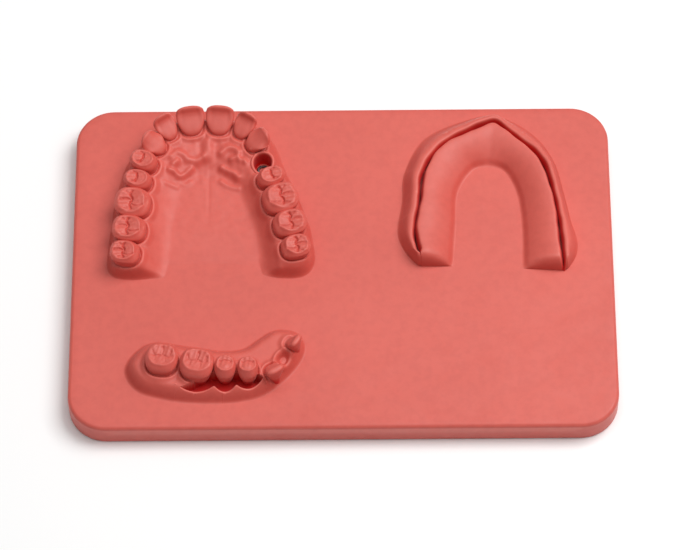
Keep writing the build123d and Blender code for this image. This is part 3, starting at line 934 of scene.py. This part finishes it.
def flap_sections(stations):
    """Closed sections of the flap across its length: outer face, thick scalloped edge, inner face."""
    front = LOWER_OUTLINE[LOWER_OUTLINE[:, 1] < -38]
    front = front[np.argsort(front[:, 0])]
    ys = np.arange(-53, -38, BANK_STEP)
    xs = np.arange(FLAP_ENDS[0] - 3, FLAP_ENDS[1] + 3, BANK_STEP)
    bank = blurred(bank_height(*np.meshgrid(xs, ys, indexing="ij")), SOFTENING / BANK_STEP)
    edge_x, edge_heights = flap_edge()
    sections = []
    for x in stations:
        column = min(int((x - xs[0]) / BANK_STEP), len(xs) - 2)
        part = (x - xs[column]) / BANK_STEP
        height = (1 - part) * bank[column] + part * bank[column + 1]
        foot = np.interp(x, front[:, 0], front[:, 1]) - 0.9
        buried = smooth(0.3, 1.6, max(PAPILLAE[0] - x, x - PAPILLAE[-1]))
        edge_z = np.interp(x, edge_x, edge_heights) - 0.4 * buried
        edge_y = np.interp(edge_z, height, ys)
        fixed_y = np.linspace(foot, foot + 2.4, 16)
        outer_y = np.r_[fixed_y, np.linspace(fixed_y[-1], edge_y, 11)[1:]]
        outer_z = np.interp(outer_y, ys, height) - SUNK - CLEAR - 0.3 * buried
        rim = [(0.16, 0.14), (0.36, 0.2), (0.58, 0.16), (0.76, -0.02), (0.86, -0.34)]
        down = np.linspace(0, 1, 7)[1:]
        inner_y = edge_y + 0.88 + down * (min(edge_y + 1.2, -44.3) - edge_y - 0.88)
        inner_z = outer_z[-1] - 0.34 + down * (0.34 - outer_z[-1] + CLEAR)
        section = list(zip(outer_y, outer_z))
        section += [(edge_y + a, outer_z[-1] + b) for a, b in rim]
        section += list(zip(inner_y, inner_z))
        sections.append([(x, y, SLAB_TOP + z) for y, z in section])
    return np.array(sections)


FLAP_SHADE = [0] * 28 + [0.05, 0.25, 0.5, 0.8] + [1] * 5  # painted shade along the points of a section, darkest on the inner face


def make_flap():
    """The scalloped flap in two halves, each running from its own end, where it sinks into the gum, to the
    middle.
    """
    for side, end, inward in (("left", FLAP_ENDS[0], 1), ("right", FLAP_ENDS[1], -1)):
        sections = flap_sections(np.linspace(end, FLAP_MIDDLE, 90))
        piece = sweep("gum_flap_" + side, sections, "mandibular_flap", FLAP_SHADE, None)
        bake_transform(piece)


# ---- toothless ridge

# Lines round the ridge: the outer foot, the cut along the crest, and the inner foot
RIDGE_FOOT = [(21.4, 0.2), (17.2, 10.5), (18.6, 22.5), (19.4, 33), (25.5, 45.4), (37, 52), (49, 54.4),
              (60.5, 48), (67.4, 37.5), (70.4, 25), (72.2, 15.5), (74.3, 6.5), (72.4, -1.6)]
CREST_CUT = [(24.8, -1), (22.8, 9.4), (24.5, 21), (25.6, 30.4), (30, 39), (37.6, 44.9), (48.4, 48.6),
             (57.6, 42), (63.4, 34.6), (66.2, 25), (67.8, 15.6), (68.5, 6.6), (69.2, -2.8)]
INNER_FOOT = [(34.8, -1), (36, 12.5), (36.8, 25), (41.5, 33.6), (46.4, 35), (51.4, 33.4), (55.2, 25),
              (56.4, 12.5), (56.2, -2)]
RIDGE_CREST = corners("edentulous_ridge")[1][2]
LIP_CREST = corners("edentulous_flap_front")[1][2]
# The edge beside the cut: distance from the cut's side and share of the height, and the painted shade of
# the gap there
ROUNDED_EDGE = [(-0.6, 0.42), (-0.44, 0.56), (-0.27, 0.71), (-0.1, 0.84), (0.06, 0.92), (0.22, 0.965),
                (0.42, 0.99), (0.75, 1.0)]
CUT_EDGE_SHADE = [1, 1, 0.95, 0.75, 0.35, 0.1, 0, 0]
EDGE_WIDTH = ROUNDED_EDGE[-1][0]
END_ROUNDING = 2.8  # of the ridge's height at its two rear ends
LIP_NOSE = 6.0  # the length over which the lip narrows at its ends
LAST = len(CREST_CUT) - 1
NOSE = np.array([0, 0.004, 0.015, 0.035, 0.06, 0.09, 0.13, 0.18])  # close places at an end of the cut
SLOPE_POINTS = 24  # from the edge down to the inner foot
WALL_POINTS = 22  # from the edge down to the outer foot


def rounded(away, radius):
    """0 at an end, rising like a round nose to 1."""
    return np.sqrt(1 - (1 - np.clip(away / radius, 0, 1)) ** 2)


class Stations:
    """Places round the ridge: on the cut, on the outer foot and on the inner foot."""

    def __init__(self, where):
        self.where = np.asarray(where, float)
        on_cut = rail(CREST_CUT, self.where)
        foot = rail(RIDGE_FOOT, self.where)
        self.inner = rail(INNER_FOOT, self.where * (len(INNER_FOOT) - 1) / LAST)
        ahead = rail(CREST_CUT, np.minimum(self.where + 0.01, LAST))
        behind = rail(CREST_CUT, np.maximum(self.where - 0.01, 0))
        run = ahead - behind
        run /= np.linalg.norm(run, axis=1)[:, None]
        self.outward = np.stack([-run[:, 1], run[:, 0]], 1)
        whole = rail(CREST_CUT, np.arange(0, LAST + 1e-9, 0.02))
        length = run_length(whole)
        self.gone = np.interp(self.where, np.arange(len(length)) * 0.02, length)
        self.left = length[-1] - self.gone
        nose = rounded(np.minimum(self.gone, self.left), LIP_NOSE)[:, None]
        self.foot = on_cut + (foot - on_cut) * (0.25 + 0.75 * nose)
        peak = 0.8 * bell(self.where - LAST / 2, 0.22) - 0.3 * bell(abs(self.where - LAST / 2) - 0.8, 0.5)
        self.cut = on_cut + self.outward * peak[:, None]


def cut_closing(stations):
    """0 where the hand-made cut has closed, just short of its left end, and 1 where it is open."""
    return smooth(1.6, 4.0, stations.gone)


def cut_width(stations):
    """Half the width of the cut, which wanders a little."""
    wander = 0.66 + 0.14 * np.sin(0.23 * stations.gone + 1.0) + 0.07 * np.sin(0.9 * stations.gone)
    return wander * cut_closing(stations)


def cut_sections(at, side, far, top, falls, under, floor):
    """Closed sections of what stands on one side of the cut, from the cut's wall over to a foot line.

    top is the height at each station. falls gives the share of the reach to the foot and of the height
    for each point beyond the edge, and under the shares of the reach for the points on the floor.
    """
    near = at.cut + side * at.outward * cut_width(at)[:, None]
    reach = far - near
    length = np.linalg.norm(reach, axis=1)
    reach /= length[:, None]
    top = top * rounded(at.gone, END_ROUNDING) * rounded(at.left, END_ROUNDING)
    sections = []
    for (x, y), (ux, uy), whole, high, closing in zip(near, reach, length, top, cut_closing(at)):
        profile = [(d * (closing if d < 0 else 1), 1 - (1 - share) * max(closing, 0.15))
                   for d, share in ROUNDED_EDGE]
        profile += [(EDGE_WIDTH + (whole - EDGE_WIDTH) * t, share) for t, share in falls]
        section = [(x + d * ux, y + d * uy, SLAB_TOP + share * high - SUNK) for d, share in profile]
        section += [(x + t * whole * ux, y + t * whole * uy, SLAB_TOP + floor) for t in under]
        sections.append(section)
    return np.array(sections)


def ridge_bed():
    """The ridge inside the cut: the cut wall, a rounded rim, and a long hollow slope."""
    at = Stations(np.r_[NOSE, np.linspace(0.22, LAST - 0.22, 190), LAST - NOSE[::-1]])
    top = (RIDGE_CREST - SLAB_TOP) * (1 + 0.02 * np.sin(0.16 * at.gone))
    falls = [(t, (1 - t ** 1.75) * smooth(1.03, 0.8, t)) for t in np.linspace(0.04, 1, SLOPE_POINTS)]
    sections = cut_sections(at, -1, at.inner, top, falls, (1.0, 0.0), -FOOT_DEPTH)
    # Painted shade down the cut wall and at its foot
    return sweep("ridge_bed", sections, "edentulous_ridge", CUT_EDGE_SHADE + [0] * (SLOPE_POINTS + 1) + [1])


def lip_sections(where, floor):
    """Closed sections of the lip: the cut wall, a rounded edge, and the outer wall down to the foot."""
    at = Stations(where)
    top = (LIP_CREST - SLAB_TOP) * (1 + 0.025 * np.sin(0.21 * at.gone + 2))
    falls = [(t, 1 - smooth(0, 1, t) ** 1.35) for t in np.linspace(0.06, 1, WALL_POINTS)]
    return cut_sections(at, 1, at.foot, top, falls, (0.9, 0.45, 0.0), floor)


def place_at(y, side):
    """Where the cut crosses a row of the slab, on the left (-1) or on the right (1), counted in points."""
    fine = np.arange(0, LAST + 1e-9, 0.01)
    line = rail(CREST_CUT, fine)
    half = fine < LAST / 2 if side < 0 else fine > LAST / 2
    return fine[half][np.argmin(abs(line[half][:, 1] - y))]


SEAM = corners("edentulous_flap_left")[1][1]  # where the turning lips meet the front one
LEFT_MIDDLE = 14.5  # where the two halves of the left lip meet
# Painted shade along a lip's section, down its cut wall and at its foot
LIP_SHADE = CUT_EDGE_SHADE + [0] * (WALL_POINTS + 2) + [1]
OVERLAP = 0.005  # how far lip pieces pass into each other, counted in points of the cut


def make_lips():
    """The lip round the ridge: fixed in front, in separate pieces on the left and on the right."""
    left, right = place_at(SEAM, -1), place_at(SEAM, 1)
    half_way = place_at(LEFT_MIDDLE, -1)
    rear_end = corners("edentulous_flap_left")[0][1]
    front = lip_sections(np.linspace(left - OVERLAP, right + OVERLAP, 150), -FOOT_DEPTH)
    sweep("lip_front", front, "edentulous_flap_front", LIP_SHADE)
    for name, side, where, start, inward in (
        ("lip_left_rear", "left", np.r_[NOSE, np.linspace(0.22, half_way + OVERLAP, 40)], rear_end, 1),
        ("lip_left_fore", "left", np.linspace(half_way, left, 44), SEAM, -1),
        ("lip_right", "right", np.r_[np.linspace(right, LAST - 0.22, 90), LAST - NOSE[::-1]], SEAM, -1),
    ):
        piece = sweep(name, lip_sections(where, CLEAR), "edentulous_flap_" + side, LIP_SHADE, None)
        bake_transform(piece)


# ---- stage

def area_light(name, place, size, power, colour):
    """A soft square lamp that points at the middle of the slab."""
    data = bpy.data.lights.new(name, "AREA")
    data.shape = "SQUARE"
    data.size = size
    data.energy = power
    data.color = colour
    lamp = bpy.data.objects.new(name, data)
    lamp.location = place
    lamp.rotation_euler = (-Vector(place)).to_track_quat("-Z", "Y").to_euler()
    bpy.context.scene.collection.objects.link(lamp)


def make_stage():
    """A pale floor, soft lamps and a faint white sky."""
    bpy.ops.mesh.primitive_plane_add(size=8, location=(0, 0, 0))
    floor = bpy.context.object
    floor.name = "floor"
    floor.data.materials.append(paper())
    area_light("key", (0.60, 0.26, 1.13), size=0.8, power=12.2, colour=(1.0, 0.99, 0.98))
    area_light("overhead", (0, 0.05, 1.5), size=1.2, power=8.2, colour=(1.0, 1.0, 1.0))
    world = bpy.data.worlds.new("studio")
    bpy.context.scene.world = world
    world.use_nodes = True
    sky = world.node_tree.nodes["Background"].inputs
    sky["Color"].default_value = (1, 1, 1, 1)
    sky["Strength"].default_value = 0.24
    bpy.context.scene.view_settings.view_transform = "Standard"


CAMERA_ELEVATION = math.radians(60.62)
CAMERA_AZIMUTH = math.radians(0.73)
CAMERA_ROLL = math.radians(-1.08)
CAMERA_DISTANCE = 1.187
CAMERA_LENS = 199.0
CAMERA_SHIFT = (-0.0043, 0.0040)


def make_camera():
    """A distant camera above the front edge, a little turned and tilted."""
    cos_e, sin_e = math.cos(CAMERA_ELEVATION), math.sin(CAMERA_ELEVATION)
    back = Vector((math.sin(CAMERA_AZIMUTH) * cos_e, -math.cos(CAMERA_AZIMUTH) * cos_e, sin_e))
    right = (-back).cross(Vector((0, 0, 1))).normalized()
    up = right.cross(-back)
    cos_r, sin_r = math.cos(CAMERA_ROLL), math.sin(CAMERA_ROLL)
    right, up = cos_r * right + sin_r * up, -sin_r * right + cos_r * up
    data = bpy.data.cameras.new("camera")
    data.lens = CAMERA_LENS
    data.sensor_width = 36.0
    data.shift_x, data.shift_y = CAMERA_SHIFT
    camera = bpy.data.objects.new("camera", data)
    turn = Matrix((right, up, back)).transposed().to_4x4()
    camera.matrix_world = Matrix.Translation(back * CAMERA_DISTANCE) @ turn
    bpy.context.scene.collection.objects.link(camera)
    bpy.context.scene.camera = camera


# ---- the whole scene

make_camera()
make_stage()
make_slab()
for name, seat in {**UPPER_SEATS, **LOWER_SEATS}.items():
    tooth(name, seat)
for name, node, body_height, detail, step in (
    ("upper_gum", "maxillary_gum", upper_gum_body, upper_gum_detail, 0.26),
    ("lower_gum", "mandibular_gum", bank_height, lower_gum_detail, BANK_STEP),
):
    gum_low, gum_high = corners(node)
    relief(name, gum_low[:2] - 3, gum_high[:2] + 3, step, body_height, detail, node)
socket_ring()
make_flap()
ridge_bed()
make_lips()
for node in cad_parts.values():
    node.data.materials.clear()
    node.data.materials.append(TITANIUM if "implant" in node.name else SILICONE)
